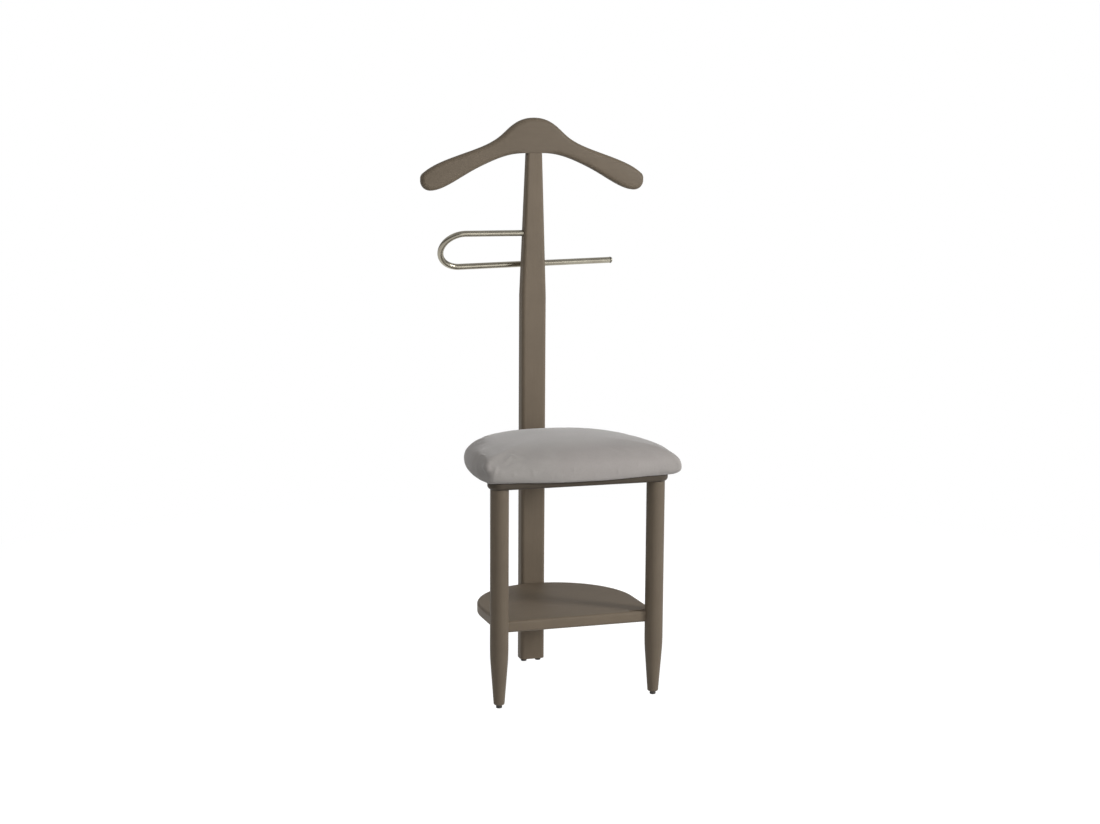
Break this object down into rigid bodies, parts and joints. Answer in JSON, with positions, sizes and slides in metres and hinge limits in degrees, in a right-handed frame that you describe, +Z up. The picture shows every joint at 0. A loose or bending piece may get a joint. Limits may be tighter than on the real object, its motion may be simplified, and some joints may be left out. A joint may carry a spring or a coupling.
{
  "type": "clothes valet chair",
  "caption": "Free-standing clothes valet: a padded seat on turned front legs and a flat rear post that carries a shaped coat hanger, a bent trouser bar and a low shoe shelf.",
  "frame": {"origin": "middle of the footprint, front to back and side to side, on the floor under the feet", "axes": "+Z up, +Y towards the rear post, +X to the right as seen from the front"},
  "size_m": [0.46, 0.386, 1.1],
  "materials": {
    "wood_taupe": "smooth taupe satin lacquer over solid wood",
    "beech": "raw beech and birch plywood",
    "nickel": "satin nickel plated tube with a warm tint",
    "seat_fabric": "grey suede-like upholstery cloth",
    "foam": "polyurethane foam",
    "dust_cloth": "black non-woven dust cover",
    "steel": "zinc plated steel fixings",
    "zinc": "zinc plated threaded sleeves",
    "dark_plastic": "dark brown plastic"
  },
  "bodies": {
    "frame": {"hanger": "wood_taupe", "hanger_dowels": "beech", "post": "wood_taupe", "trouser_bar": "nickel", "bar_end_ring": "dark_plastic", "bar_end_cap": "nickel", "bar_lock_screw": "steel", "seat_cover": "seat_fabric", "seat_foam": "foam", "seat_board": "beech", "dust_cover": "dust_cloth", "seat_rail": "wood_taupe", "seat_cleat": "wood_taupe", "seat_screws": "steel", "left_leg": "wood_taupe", "right_leg": "wood_taupe", "leg_screws": "steel", "shelf_board": "wood_taupe", "shelf_dowels": "beech", "post_bolts": "steel", "bolt_sleeves": "zinc", "leg_inserts": "zinc", "post_inserts": "zinc"},
    "front_left_glide": {"front_left_foot": "dark_plastic", "front_left_stem": "steel"},
    "front_right_glide": {"front_right_foot": "dark_plastic", "front_right_stem": "steel"},
    "rear_left_glide": {"rear_left_foot": "dark_plastic", "rear_left_stem": "steel"},
    "rear_right_glide": {"rear_right_foot": "dark_plastic", "rear_right_stem": "steel"}
  },
  "joints": [
    {"name": "front_left_level", "type": "slide", "parent": "frame", "child": "front_left_glide", "axis": [0, 0, -1], "range_m": [0, 0.008]},
    {"name": "front_right_level", "type": "slide", "parent": "frame", "child": "front_right_glide", "axis": [0, 0, -1], "range_m": [0, 0.008]},
    {"name": "rear_left_level", "type": "slide", "parent": "frame", "child": "rear_left_glide", "axis": [0, 0, -1], "range_m": [0, 0.008]},
    {"name": "rear_right_level", "type": "slide", "parent": "frame", "child": "rear_right_glide", "axis": [0, 0, -1], "range_m": [0, 0.008]}
  ]
}
